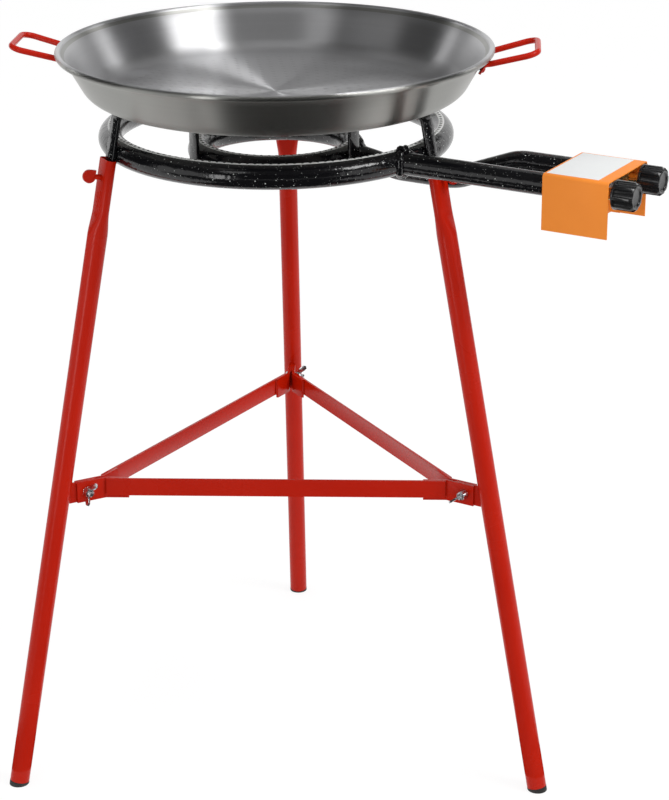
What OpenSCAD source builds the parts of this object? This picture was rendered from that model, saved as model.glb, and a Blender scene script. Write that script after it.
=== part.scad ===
/* [Pan] */
// Diameter over the rolled rim of the pan
pan_d = 500; // [460:5:520]
// Diameter of the flat floor of the pan
pan_floor_d = 394; // [370:2:400]
// Height of the rim's middle above the underside of the floor
pan_h = 52; // [46:1:60]
// Radius of the bend between floor and wall
pan_bend_r = 28; // [20:1:32]
// Thickness of the pan's steel
pan_wall = 1.5; // [1:0.1:2]
// Radius of the rolled rim
rim_r = 3.5; // [3:0.25:4]
// Diameter of the handle rod
handle_rod_d = 7; // [6:0.5:8]
// Reach of the handle from the pan's axis to the middle of its outer bar
handle_reach = 298; // [290:1:310]
// Half the width of the handle at its outer bar
handle_half = 40; // [36:1:46]
// Turn of the two handles from the X axis
handle_turn = -2.6; // [-10:0.2:10]

/* [Burner] */
// Height of the outer ring's middle above the floor
ring_z = 758; // [700:1:800]
// Radius of the outer ring to the middle of its tube
outer_ring_r = 190.5; // [185:0.5:196]
// Radius of the inner ring to the middle of its tube
inner_ring_r = 88.5; // [84:0.5:92]
// Radius of the ring tubes
ring_tube_r = 14; // [13:0.25:14]
// How far the inner ring hangs below the outer one
inner_drop = 18; // [16:1:20]
// Radius of the two supply pipes
pipe_r = 12.5; // [12:0.1:12.6]
// Wall of the rings and pipes
tube_wall = 1.5; // [1:0.1:2]
// Direction of the supply pipes from the X axis
pipe_turn = -28.5; // [-29:0.1:-28.2]
// Offset of the outer ring's pipe from the burner's centre line
outer_pipe_y = -47; // [-48:0.5:-46]
// Offset of the inner ring's pipe from the burner's centre line
inner_pipe_y = 23; // [23:0.5:24]
// Pitch of the outer ring's flame ports along its circle
port_pitch = 8.5; // [8:0.5:20]
// Diameter of a flame port
port_d = 2.4; // [2:0.1:3]

/* [Supports] */
// Width of the flat bar of the pan supports
bar_w = 20; // [18:1:22]
// Thickness of the flat bar of the pan supports
bar_t = 4; // [4:0.5:4]
// Clear height from the outer ring's middle to the pan's underside
pan_clear = 47; // [42:1:50]

/* [Legs] */
// Lean of the legs from upright
splay = 11.2; // [10:0.1:12]
// Diameter of the leg tube
leg_d = 23; // [22:0.5:24]
// Wall of the leg tube
leg_wall = 1.2; // [1:0.1:1.5]
// Length of the flattened top of a leg
flat_len = 58; // [50:1:64]
// Thickness of the flattened top over its outside
flat_t = 12; // [11.5:0.5:13]
// Width of the flattened top over its outside
flat_w = 28.5; // [28:0.5:28.5]
// Height of the brace bolts above the floor
brace_z = 362; // [330:1:400]
// Radius of the circle through the brace bolts
bolt_circle_r = 255; // [250:1:258]
// Height of the flat bar of a brace
brace_h = 21; // [20:0.5:23]
// Height of a brace's end plates
end_plate_h = 25; // [24:0.5:26]
// Thickness of the braces and tabs
brace_t = 3; // [3:0.5:3]

/* [Gas controls] */
// Length of the cover along the pipes
cover_l = 76; // [72:1:80]
// Width of the cover across the pipes
cover_w = 102; // [100:1:104]
// Height of the cover's side flaps
cover_h = 62; // [58:1:66]
// Thickness of the cover's sheet
cover_t = 1.5; // [1.2:0.1:1.5]
// Distance of the cover's near end from the burner's axis
cover_x = 368.5; // [366:0.5:372]
// Diameter of a knob
knob_d = 32; // [30:0.5:33]
// Length of a knob
knob_l = 24; // [22:0.5:26]
// Number of lobes of a knob
knob_lobes = 8; // [6:1:10]

/* [Hidden] */
$fn = 64;
eps = 0.01;
lap = 0.6;
black_enamel = [0.05, 0.05, 0.06];
leg_red = [0.72, 0.08, 0.03];
steel = [0.72, 0.72, 0.72];
zinc = [0.82, 0.83, 0.85];
brass = [0.80, 0.62, 0.28];
cover_orange = [0.92, 0.50, 0.20];
plastic_black = [0.06, 0.06, 0.07];

// Directions of the legs, and the side of each tab that carries the wing nut
leg_left_a = 210;
leg_right_a = 330;
leg_rear_a = 90;
nut_side_left = 1;
nut_side_right = -1;
nut_side_rear = -1;

// Heights
pan_z = ring_z + pan_clear;
rim_z = pan_z + pan_h;
inner_z = ring_z - inner_drop;

// Pan wall: the arc over the floor's edge meets a straight flare up to the rolled rim
floor_r = pan_floor_d / 2;
rim_mid_r = pan_d / 2 - rim_r;
flare_top = [rim_mid_r - rim_r - 2.5, pan_h - rim_r];
bend_c = [floor_r, pan_bend_r];
flare_reach = norm(flare_top - bend_c);
flare_a = atan2(flare_top.y - bend_c.y, flare_top.x - bend_c.x) - acos(pan_bend_r / flare_reach);
flare_foot = bend_c + pan_bend_r * [cos(flare_a), sin(flare_a)];
wall_out = [cos(flare_a), sin(flare_a)];

// Handle: the rod starts on the wall at the rivet and rises outward to its outer bar
rivet_h = 38;
rivet_half = 33;
rivet_d = 4;
lug_t = 3.2;
lug_r = 6.5;
lug_neck = 7;
handle_root_x = 248;
handle_root_z = 44;
handle_end_z = 57;
handle_bend_r = 13;
handle_rise = atan2(handle_end_z - handle_root_z, handle_reach - handle_root_x);
wall_r = flare_foot.x + (rivet_h - flare_foot.y) * (flare_top.x - flare_foot.x) / (flare_top.y - flare_foot.y);

// Burner
pipe_end = cover_x + 35.5;
pipe_dip = inner_drop + 11.5;
pipe_bend_r = 60;
dip_x = [150, 222];
rise_x = 300;
port_lean = 20;

// Supports: the outer foot of each bar leans with its leg and lies against the outer ring
weld_sink = 0.3;
tab_shift = flat_t / 2 - leg_wall - bar_t / 2 - 0.3;
lean = tan(splay);
tab_r = outer_ring_r + (ring_tube_r + bar_t / 2 - weld_sink) / cos(splay);
upright_r = inner_ring_r + ring_tube_r + bar_t / 2 - weld_sink;
bar_bend_r = 7;
tab_end_z = ring_z - 58;

// Legs
foot_r = tab_r + tab_shift / cos(splay) + ring_z * lean;
leg_top = (ring_z - 4) / cos(splay);
leg_start = 4.5;
blend_len = 30;
screw_r = 3;
running = 0.05;
screw_u = leg_top - 21;
plug_r = leg_d / 2 + 0.1;

// Braces
tab_end_r = bolt_circle_r - 12;
tab_root_r = foot_r - brace_z * lean - leg_d / 2 / cos(splay) + 1.5;
bolt_r = 3;
plate_end_r = bolt_circle_r + 13;
bend_r = bolt_circle_r - 23;
plate_x = 172;
brace_top = brace_z + end_plate_h / 2;
stack = brace_t * 3 / 2;
washer_t = 1.2;
washer_r = 6;
bolt_hole_r = bolt_r + 0.3;
nut_h = 6;
plate_mid = (brace_t + brace_t) / 2;

// Gas controls, along the pipes from the burner's axis
cover_mid_y = (outer_pipe_y + inner_pipe_y) / 2;
cover_top = 16;
cover_end = cover_x + cover_l;
rail_half = 10;
rail_x = pipe_end + cover_t;
rail_front = outer_pipe_y - 10.5;
rail_rear = inner_pipe_y + 11;
tap_nose_r = 7;
tap_nose_x = pipe_end - 12;
tap_face_x = rail_x + 2 * rail_half;
tap_end_x = cover_end + 1;
spindle_r = 4;
knob_x = cover_end + 2;
knob_end = knob_x + knob_l;
knob_edge = 3;
knob_face_r = knob_d / 2 - 2.4;
nozzle_r = 5.25;
nozzle_land = 24;
nozzle_stem = 3.6;
nozzle_len = 30;

// Middle of the box that the whole object fills, seen from above
plug_reach = norm([plug_r / cos(splay) * cos(30), plug_r * sin(30)]);
box_x_lo = -foot_r * cos(30) - plug_reach;
box_x_hi = knob_end * cos(pipe_turn) - (inner_pipe_y + knob_face_r) * sin(pipe_turn);
box_y_lo = (knob_end - knob_edge) * sin(pipe_turn) + (outer_pipe_y - knob_d / 2) * cos(pipe_turn);
box_y_hi = foot_r + plug_r / cos(splay);
box_mid = [(box_x_lo + box_x_hi) / 2, (box_y_lo + box_y_hi) / 2];

function unit(v) = v / norm(v);

// Corner q of a path from p to w, rounded with radius r
function half_turn(p, q, w) = acos(max(-1, min(1, unit(p - q) * unit(w - q)))) / 2;
function arrive(p, q, w, r) = q + unit(p - q) * r / tan(half_turn(p, q, w));
function leave(p, q, w, r) = q + unit(w - q) * r / tan(half_turn(p, q, w));
function bend_centre(p, q, w, r) = q + unit(unit(p - q) + unit(w - q)) * r / sin(half_turn(p, q, w));
function sweep(a, b) = atan2(a.x * b.y - a.y * b.x, a * b);
function bend_points(p, q, w, r, n) =
  let (c = bend_centre(p, q, w, r))
  let (a = arrive(p, q, w, r) - c)
  let (s = sweep(a, leave(p, q, w, r) - c))
  let (a0 = atan2(a.y, a.x))
  [for (i = [0:n]) c + r * [cos(a0 + s * i / n), sin(a0 + s * i / n)]];

// Middle line of a bent strip, and its outline at thickness t
function bent_line(path, r, n = 6) = [
  path[0],
  for (i = [1:len(path) - 2]) each bend_points(path[i - 1], path[i], path[i + 1], r, n),
  path[len(path) - 1]
];
function side_step(line, i, d) =
  let (u = unit(line[min(i + 1, len(line) - 1)] - line[max(i - 1, 0)]))
  line[i] + d * [-u.y, u.x];
function strip(line, t) = [
  for (i = [0:len(line) - 1]) side_step(line, i, t / 2),
  for (i = [len(line) - 1:-1:0]) side_step(line, i, -t / 2)
];

// Points of an arc about c
function arc(c, r, a0, a1, n) = [for (i = [0:n]) c + r * [cos(a0 + (a1 - a0) * i / n), sin(a0 + (a1 - a0) * i / n)]];

module placed() {
  translate([-box_mid.x, -box_mid.y, 0]) children();
}

// Round bar or pipe along a path in the XY plane, with its corners bent to radius bend
module straight(a, b, r) {
  translate([a.x, a.y, 0]) rotate([0, 0, atan2(b.y - a.y, b.x - a.x)]) rotate([0, 90, 0])
    cylinder(h = norm(b - a), r = r);
}

module elbow(p, q, w, bend, r) {
  c = bend_centre(p, q, w, bend);
  a = arrive(p, q, w, bend) - c;
  s = sweep(a, leave(p, q, w, bend) - c);
  translate([c.x, c.y, 0]) rotate([0, 0, atan2(a.y, a.x) + min(s, 0)])
    rotate_extrude(angle = abs(s)) translate([bend, 0]) rotate(-90) circle(r = r + 0.05);
}

module bent_rod(path, bend, r) {
  n = len(path);
  for (i = [0:n - 2]) {
    u = unit(path[i + 1] - path[i]);
    a = i == 0 ? path[0] : leave(path[i - 1], path[i], path[i + 1], bend) - lap * u;
    b = i == n - 2 ? path[n - 1] : arrive(path[i], path[i + 1], path[i + 2], bend) + lap * u;
    straight(a, b, r);
  }
  for (i = [1:n - 2]) elbow(path[i - 1], path[i], path[i + 1], bend, r);
}

module torus(mid, r) {
  rotate_extrude($fn = 128) translate([mid, 0]) circle(r = r);
}

// Frames: the pan's underside, one handle, one leg's upright plane, one leg's own axis, the supply pipes
module at_pan() {
  placed() translate([0, 0, pan_z]) rotate([0, 0, handle_turn]) children();
}

module at_side(a) {
  placed() rotate([0, 0, a]) children();
}

module at_leg(a) {
  at_side(a) translate([foot_r, 0, 0]) rotate([0, -splay, 0]) children();
}

module at_pipes() {
  placed() rotate([0, 0, pipe_turn]) translate([0, 0, ring_z]) children();
}

module along_x() {
  rotate([0, 90, 0]) children();
}

// Pan

module pan_profile() {
  inner_bend = pan_bend_r - pan_wall;
  outside = concat([[0, 0]], arc(bend_c, pan_bend_r, -90, flare_a, 6), [flare_top]);
  inside = concat([flare_top - pan_wall * wall_out], arc(bend_c, inner_bend, flare_a, -90, 6), [[0, pan_wall]]);
  polygon(concat(outside, [[rim_mid_r, pan_h - rim_r + 0.6]], [[rim_mid_r - rim_r + 0.4, pan_h]], inside));
  translate([rim_mid_r, pan_h]) circle(r = rim_r, $fn = 32);
}

module at_rivet(side, y) {
  rotate([0, 0, side > 0 ? 0 : 180]) translate([wall_r, y, rivet_h]) rotate([0, -flare_a, 0]) children();
}

module pan_shell() {
  color(steel) at_pan() difference() {
    rotate_extrude($fn = 160) pan_profile();
    for (side = [-1, 1], y = [-rivet_half, rivet_half])
      at_rivet(side, y) along_x() translate([0, 0, -12]) cylinder(h = 24, d = rivet_d, $fn = 32);
  }
}

module lug(y) {
  at_rivet(1, y) difference() {
    union() {
      along_x() translate([0, 0, 0.1]) cylinder(h = lug_t, r = lug_r, $fn = 32);
      hull() {
        along_x() translate([0, 0, 0.4]) cylinder(h = lug_t - 0.8, r = lug_r - 1, $fn = 32);
        translate([handle_rod_d / 2 + 0.4, sign(y) * 0.6, lug_neck]) sphere(d = handle_rod_d - 0.6, $fn = 24);
      }
    }
    along_x() translate([0, 0, -12]) cylinder(h = 24, d = rivet_d, $fn = 32);
  }
}

module handle() {
  flat_reach = (handle_reach - handle_root_x) / cos(handle_rise);
  root = [-7, rivet_half];
  tip = [flat_reach, handle_half];
  path = [root, tip, [tip.x, -tip.y], [root.x, -root.y]];
  translate([handle_root_x, 0, handle_root_z]) rotate([0, -handle_rise, 0]) bent_rod(path, handle_bend_r, handle_rod_d / 2);
  for (y = [-rivet_half, rivet_half]) lug(y);
}

module pan_handle_left() {
  color(leg_red) at_pan() rotate([0, 0, 180]) handle();
}

module pan_handle_right() {
  color(leg_red) at_pan() handle();
}

module rivets(side) {
  grip = lug_t + 0.1;
  head_r = 3.6;
  for (y = [-rivet_half, rivet_half]) at_rivet(side, y) along_x() {
    translate([0, 0, -pan_wall]) cylinder(h = pan_wall + grip, d = rivet_d, $fn = 32);
    translate([0, 0, grip]) rivet_head(head_r);
    translate([0, 0, -pan_wall]) mirror([0, 0, 1]) rivet_head(head_r);
  }
}

module rivet_head(r) {
  rise = 2;
  dome_r = (r * r + rise * rise) / (2 * rise);
  intersection() {
    translate([0, 0, rise - dome_r]) sphere(r = dome_r, $fn = 48);
    cylinder(h = rise + 1, r = r);
  }
}

module pan_rivets_left() {
  color(steel) at_pan() rivets(-1);
}

module pan_rivets_right() {
  color(steel) at_pan() rivets(1);
}

// Burner rings

module outer_pipe(r, extra) {
  root = sqrt(outer_ring_r * outer_ring_r - outer_pipe_y * outer_pipe_y);
  translate([root, outer_pipe_y, 0]) along_x() cylinder(h = pipe_end - root + extra, r = r);
}

module inner_pipe(r, extra) {
  root = sqrt(inner_ring_r * inner_ring_r - inner_pipe_y * inner_pipe_y);
  path = [
    [root, -inner_drop],
    [dip_x[0], -pipe_dip],
    [dip_x[1], -pipe_dip],
    [rise_x, 0],
    [pipe_end + extra, 0]
  ];
  translate([0, inner_pipe_y, 0]) rotate([90, 0, 0]) bent_rod(path, pipe_bend_r, r);
}

// Air windows on both sides of a pipe, just ahead of its jet
module air_windows(y) {
  window = [20, 2 * pipe_r + 10, 11];
  translate([pipe_end - 14 - window.x / 2, y, 0]) cube(window, center = true);
}

// Row of flame ports along a ring, leaning towards its middle
module flame_ports(mid) {
  count = round(2 * PI * mid / port_pitch);
  for (i = [0:count - 1]) rotate([0, 0, (i + 0.5) * 360 / count]) translate([mid, 0, 0])
    rotate([0, -port_lean, 0]) translate([0, 0, ring_tube_r - 4]) cylinder(h = 8, d = port_d, $fn = 16);
}

module outer_ring() {
  color(black_enamel) at_pipes() difference() {
    union() {
      torus(outer_ring_r, ring_tube_r);
      outer_pipe(pipe_r, 0);
    }
    torus(outer_ring_r, ring_tube_r - tube_wall);
    outer_pipe(pipe_r - tube_wall, 1);
    air_windows(outer_pipe_y);
    flame_ports(outer_ring_r);
  }
}

module inner_ring() {
  color(black_enamel) at_pipes() difference() {
    union() {
      translate([0, 0, -inner_drop]) torus(inner_ring_r, ring_tube_r);
      inner_pipe(pipe_r, 0);
    }
    translate([0, 0, -inner_drop]) torus(inner_ring_r, ring_tube_r - tube_wall);
    inner_pipe(pipe_r - tube_wall, 1);
    air_windows(inner_pipe_y);
    translate([0, 0, -inner_drop]) flame_ports(inner_ring_r);
  }
}

// Pan supports: one bent flat bar each, from the leg over the outer ring to the inner ring

module support(a) {
  top = pan_z - bar_t / 2;
  path = [
    [tab_r + (ring_z - tab_end_z) * lean, tab_end_z],
    [tab_r - (top - ring_z) * lean, top],
    [upright_r, top],
    [upright_r, inner_z - 8]
  ];
  color(black_enamel) at_side(a) rotate([90, 0, 0]) translate([0, 0, -bar_w / 2])
    linear_extrude(bar_w) polygon(strip(bent_line(path, bar_bend_r), bar_t));
}

module support_left() {
  support(leg_left_a);
}

module support_right() {
  support(leg_right_a);
}

module support_rear() {
  support(leg_rear_a);
}

// Legs: round tube with a flattened top that slips over the support's foot

module flat_oval(w, t) {
  square([t, w - t], center = true);
  for (y = [-1, 1]) translate([0, y * (w - t) / 2]) circle(d = t);
}

module leg_body(shrink, ends) {
  d = leg_d - 2 * shrink;
  round_end = leg_top - flat_len - blend_len;
  translate([0, 0, leg_start - ends]) cylinder(h = round_end - leg_start + ends, d = d);
  hull() {
    translate([0, 0, round_end - eps]) cylinder(h = eps, d = d, $fn = 32);
    translate([0, 0, round_end + blend_len])
      linear_extrude(eps) flat_oval(flat_w - 2 * shrink, flat_t - 2 * shrink, $fn = 32);
  }
  translate([0, 0, leg_top - flat_len])
    linear_extrude(flat_len + ends) flat_oval(flat_w - 2 * shrink, flat_t - 2 * shrink);
}

module leg(a) {
  color(leg_red) difference() {
    union() {
      at_leg(a) leg_body(0, 0);
      at_side(a) translate([tab_end_r, -brace_t / 2, brace_z - end_plate_h / 2])
        cube([tab_root_r - tab_end_r, brace_t, end_plate_h]);
    }
    at_leg(a) leg_body(leg_wall, 1);
    at_leg(a) translate([0, 0, screw_u]) along_x() cylinder(h = leg_d, r = screw_r + running);
    at_side(a) translate([bolt_circle_r, 10, brace_z]) rotate([90, 0, 0]) cylinder(h = 20, r = bolt_hole_r);
  }
}

module leg_left() {
  leg(leg_left_a);
}

module leg_right() {
  leg(leg_right_a);
}

module leg_rear() {
  leg(leg_rear_a);
}

// Foot plugs: a ribbed stem in the tube's end and a flange cut level with the floor

module foot_plug(a) {
  stem_r = leg_d / 2 - leg_wall - 0.4;
  color(plastic_black) intersection() {
    at_leg(a) {
      translate([0, 0, -6]) cylinder(h = leg_start + 6, r = plug_r);
      cylinder(h = leg_start + 22, r = stem_r - 0.8);
      for (u = [8, 14, 20]) translate([0, 0, leg_start + u - 2]) cylinder(h = 2, r1 = stem_r, r2 = stem_r - 0.8);
    }
    at_side(a) translate([foot_r - 60, -60, 0]) cube([120, 120, 120]);
  }
}

module foot_plug_left() {
  foot_plug(leg_left_a);
}

module foot_plug_right() {
  foot_plug(leg_right_a);
}

module foot_plug_rear() {
  foot_plug(leg_rear_a);
}

// Leg screws: a threaded shank with a flat round thumb piece

module leg_screw(a) {
  tip = bar_t / 2 - tab_shift + 0.1;
  stem_end = flat_t / 2 + 8;
  thumb_d = 15;
  thumb_t = 4;
  color(leg_red) at_leg(a) translate([0, 0, screw_u]) {
    translate([tip, 0, 0]) along_x() cylinder(h = stem_end - tip, r = screw_r);
    translate([stem_end + thumb_d / 2 - 1.5, thumb_t / 2, 0]) rotate([90, 0, 0]) cylinder(h = thumb_t, d = thumb_d);
    translate([stem_end - 1, -thumb_t / 2, -1.5]) cube([6, thumb_t, 9]);
  }
}

module leg_screw_left() {
  leg_screw(leg_left_a);
}

module leg_screw_right() {
  leg_screw(leg_right_a);
}

module leg_screw_rear() {
  leg_screw(leg_rear_a);
}

// Braces: a flat bar between two legs, with an end plate welded inside each end and bent to the leg's tab

module end_plate() {
  d = [cos(30), -sin(30)];
  m = [-sin(30), -cos(30)];
  knee_y = -bend_r * sin(30) - plate_mid * cos(30);
  path = [d * plate_end_r + m * plate_mid, [bend_r * cos(30) - plate_mid * sin(30), knee_y], [plate_x, knee_y]];
  difference() {
    translate([0, 0, brace_z - end_plate_h / 2]) linear_extrude(end_plate_h) polygon(strip(bent_line(path, 5), brace_t));
    at_bolt_axis() translate([0, 0, -20]) cylinder(h = 40, r = bolt_hole_r);
  }
}

// The right leg's bolt axis, seen from the front brace
module at_bolt_axis() {
  rotate([0, 0, -30]) translate([bolt_circle_r, 0, brace_z]) rotate([90, 0, 0]) children();
}

module brace(a) {
  bar_half = bend_r * cos(30) - 3;
  bar_y = -bend_r * sin(30) - plate_mid * cos(30) - 1.5 * brace_t;
  color(leg_red) at_side(a) {
    end_plate();
    mirror([1, 0, 0]) end_plate();
    translate([-bar_half, bar_y, brace_top - brace_h]) cube([2 * bar_half, brace_t, brace_h]);
  }
}

module brace_front() {
  brace(0);
}

module brace_right() {
  brace(120);
}

module brace_left() {
  brace(240);
}

// Bolt axis at one leg, pointing to the wing nut's side
module at_bolt(a, side) {
  at_side(a) translate([bolt_circle_r, 0, brace_z]) rotate([-90 * side, 0, 0]) children();
}

module brace_bolt(a, side) {
  head_r = 6.5;
  color(zinc) at_bolt(a, side) {
    translate([0, 0, -stack - 0.05]) cylinder(h = 2 * stack + washer_t + nut_h + 5, r = bolt_r);
    translate([0, 0, -stack]) mirror([0, 0, 1]) bolt_head(head_r);
  }
}

module bolt_head(r) {
  rise = 4;
  dome_r = (r * r + rise * rise) / (2 * rise);
  intersection() {
    translate([0, 0, rise - dome_r]) sphere(r = dome_r, $fn = 48);
    cylinder(h = rise + 1, r = r);
  }
}

module brace_bolt_left() {
  brace_bolt(leg_left_a, nut_side_left);
}

module brace_bolt_right() {
  brace_bolt(leg_right_a, nut_side_right);
}

module brace_bolt_rear() {
  brace_bolt(leg_rear_a, nut_side_rear);
}

module washer() {
  difference() {
    cylinder(h = washer_t, r = washer_r);
    translate([0, 0, -1]) cylinder(h = washer_t + 2, r = bolt_hole_r);
  }
}

module brace_washers() {
  color(zinc) {
    at_bolt(leg_left_a, nut_side_left) translate([0, 0, stack]) washer();
    at_bolt(leg_right_a, nut_side_right) translate([0, 0, stack]) washer();
    at_bolt(leg_rear_a, nut_side_rear) translate([0, 0, stack]) washer();
  }
}

// Wing nuts: a tapered hub with two upswept wings

module wing_nut(a, side, turn) {
  wing = [[2.5, 0.5], [6, 1], [11, 5], [14, 9.5], [13.4, 13], [10.5, 14], [7.6, 11.5], [4, nut_h]];
  color(zinc) at_bolt(a, side) translate([0, 0, stack + washer_t + 0.15]) rotate([0, 0, turn]) difference() {
    union() {
      cylinder(h = nut_h, r1 = 6, r2 = 4.8);
      for (half = [0, 180]) rotate([90, 0, half]) translate([0, 0, -1.2]) linear_extrude(2.4) polygon(wing);
    }
    translate([0, 0, -1]) cylinder(h = nut_h + 2, r = bolt_r + running);
  }
}

module wing_nut_left() {
  wing_nut(leg_left_a, nut_side_left, 62);
}

module wing_nut_right() {
  wing_nut(leg_right_a, nut_side_right, 35);
}

module wing_nut_rear() {
  wing_nut(leg_rear_a, nut_side_rear, 75);
}

// Cover: a folded sheet over the taps, with a cross plate inside that holds the pipe ends and the gas rail

module cover_outline() {
  half = (cover_w - cover_t) / 2;
  low = cover_top - cover_h;
  high = cover_top - cover_t / 2;
  polygon(strip(bent_line([[-half, low], [-half, high], [half, high], [half, low]], 3), cover_t));
}

module heat_cover() {
  color(cover_orange) at_pipes() difference() {
    translate([cover_x, cover_mid_y, 0]) rotate([90, 0, 90]) linear_extrude(cover_l) cover_outline();
    translate([rail_x + rail_half, cover_mid_y + cover_w / 2 - 10, 0]) rotate([-90, 0, 0]) cylinder(h = 20, r = 9);
  }
}

module cross_plate() {
  half = cover_w / 2 - cover_t;
  low = cover_top - cover_h;
  flange = 12;
  path = [[flange, -half + cover_t / 2], [cover_t / 2, -half + cover_t / 2], [cover_t / 2, half - cover_t / 2], [flange, half - cover_t / 2]];
  color(cover_orange) at_pipes() difference() {
    translate([pipe_end, cover_mid_y, low]) linear_extrude(cover_h - cover_t)
      polygon(strip(bent_line(path, 2), cover_t));
    for (y = [outer_pipe_y, inner_pipe_y])
      translate([pipe_end - 5, y, 0]) along_x() cylinder(h = 12, r = tap_nose_r + 0.1);
    for (y = [-12, 12]) translate([pipe_end - 5, cover_mid_y + y, 0]) along_x() cylinder(h = 12, r = 2.6);
    translate([rail_x + rail_half, cover_mid_y + cover_w / 2 - 10, 0]) rotate([-90, 0, 0]) cylinder(h = 20, r = 9);
  }
}

module gas_rail() {
  color(steel) at_pipes() difference() {
    translate([rail_x, rail_front, -rail_half]) cube([2 * rail_half, rail_rear - rail_front, 2 * rail_half]);
    for (y = [outer_pipe_y, inner_pipe_y])
      translate([rail_x - 1, y, 0]) along_x() cylinder(h = 2 * rail_half + 2, r = tap_nose_r + 0.1);
    for (y = [-12, 12])
      translate([rail_x - 1, cover_mid_y + y, 0]) along_x() cylinder(h = 2 * rail_half + 2, r = 2.6);
    translate([rail_x + rail_half, rail_rear - 12, 0]) rotate([-90, 0, 0]) cylinder(h = 13, r = 5);
  }
}

module rail_screws() {
  color(zinc) at_pipes() for (y = [-12, 12]) translate([pipe_end - 3, cover_mid_y + y, 0]) along_x() {
    cylinder(h = 3 + cover_t + 2 * rail_half, r = 2.5);
    translate([0, 0, -2.6 + 3]) cylinder(h = 2.6, r = 4.5, $fn = 6);
    translate([0, 0, 3 + cover_t + 2 * rail_half]) cylinder(h = 3, r = 4.2);
  }
}

module hose_nozzle() {
  color(brass) at_pipes() translate([rail_x + rail_half, rail_rear, 0]) rotate([-90, 0, 0]) difference() {
    union() {
      translate([0, 0, -nozzle_stem]) cylinder(h = nozzle_stem + 0.1, r = 4.9);
      cylinder(h = 5, r = 7.5, $fn = 6);
      translate([0, 0, 5]) cylinder(h = nozzle_land, r = nozzle_r);
      translate([0, 0, 5 + nozzle_land]) cylinder(h = 2, r1 = nozzle_r, r2 = nozzle_r - 0.8);
      translate([0, 0, 7 + nozzle_land]) cylinder(h = 3, r1 = nozzle_r - 0.2, r2 = 4);
    }
    translate([0, 0, -12]) cylinder(h = nozzle_len + 20, r = 2.5);
  }
}

// Taps: a brass body through the rail, its nose in the pipe's end, and its neck towards the knob

module tap(y) {
  color(brass) at_pipes() translate([0, y, 0]) along_x() difference() {
    union() {
      translate([0, 0, tap_nose_x]) cylinder(h = tap_face_x - tap_nose_x, r = tap_nose_r);
      translate([0, 0, tap_face_x]) cylinder(h = 7, r = 9.5, $fn = 6);
      translate([0, 0, tap_face_x + 7]) cylinder(h = tap_end_x - tap_face_x - 7, r = 6.5);
    }
    translate([0, 0, tap_face_x - 6]) cylinder(h = 40, r = spindle_r + running);
    translate([0, 0, tap_nose_x - 1]) cylinder(h = 16, r = 3.3);
  }
}

module tap_outer() {
  tap(outer_pipe_y);
}

module tap_inner() {
  tap(inner_pipe_y);
}

module jet(y) {
  color(brass) at_pipes() translate([tap_nose_x, y, 0]) along_x() difference() {
    union() {
      translate([0, 0, -4]) cylinder(h = 4, r = 5, $fn = 6);
      translate([0, 0, -8]) cylinder(h = 4, r1 = 2.2, r2 = 3.6);
      translate([0, 0, -0.1]) cylinder(h = 8, r = 3.2);
    }
    translate([0, 0, -9]) cylinder(h = 20, r = 0.5);
  }
}

module jet_outer() {
  jet(outer_pipe_y);
}

module jet_inner() {
  jet(inner_pipe_y);
}

module spindle(y) {
  color(zinc) at_pipes() translate([0, y, 0]) along_x()
    translate([0, 0, tap_face_x - 5]) cylinder(h = knob_x + 16 - tap_face_x + 5, r = spindle_r);
}

module spindle_outer() {
  spindle(outer_pipe_y);
}

module spindle_inner() {
  spindle(inner_pipe_y);
}

// Knobs: a lobed grip on a thin skirt, with a shallow dished face

module knob(y) {
  r = knob_d / 2;
  flute_r = 5.2;
  flute_at = r + flute_r - 3.4;
  dish = [[r - 5.5, knob_l], [r - 7, knob_l - 1.5], [0, knob_l - 1.5]];
  shape = concat([[0, 0], [r, 0], [r, knob_l - knob_edge], [knob_face_r, knob_l]], dish);
  color(plastic_black) at_pipes() translate([knob_x, y, 0]) along_x() difference() {
    rotate_extrude() polygon(shape);
    for (i = [0:knob_lobes - 1])
      rotate([0, 0, (i + 0.5) * 360 / knob_lobes]) translate([flute_at, 0, 2.4]) cylinder(h = knob_l, r = flute_r);
    translate([0, 0, -1]) cylinder(h = 17.2, r = spindle_r - 0.02);
    translate([0, 0, -1]) cylinder(h = 4, r = 8);
  }
}

module knob_outer() {
  knob(outer_pipe_y);
}

module knob_inner() {
  knob(inner_pipe_y);
}

pan_shell();
pan_handle_left();
pan_handle_right();
pan_rivets_left();
pan_rivets_right();
outer_ring();
inner_ring();
support_left();
support_right();
support_rear();
leg_left();
leg_right();
leg_rear();
foot_plug_left();
foot_plug_right();
foot_plug_rear();
leg_screw_left();
leg_screw_right();
leg_screw_rear();
brace_front();
brace_right();
brace_left();
brace_bolt_left();
brace_bolt_right();
brace_bolt_rear();
brace_washers();
wing_nut_left();
wing_nut_right();
wing_nut_rear();
heat_cover();
cross_plate();
gas_rail();
rail_screws();
hose_nozzle();
tap_outer();
tap_inner();
jet_outer();
jet_inner();
spindle_outer();
spindle_inner();
knob_outer();
knob_inner();
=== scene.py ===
import bpy
import bmesh
import math
from mathutils import Matrix, Vector


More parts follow.
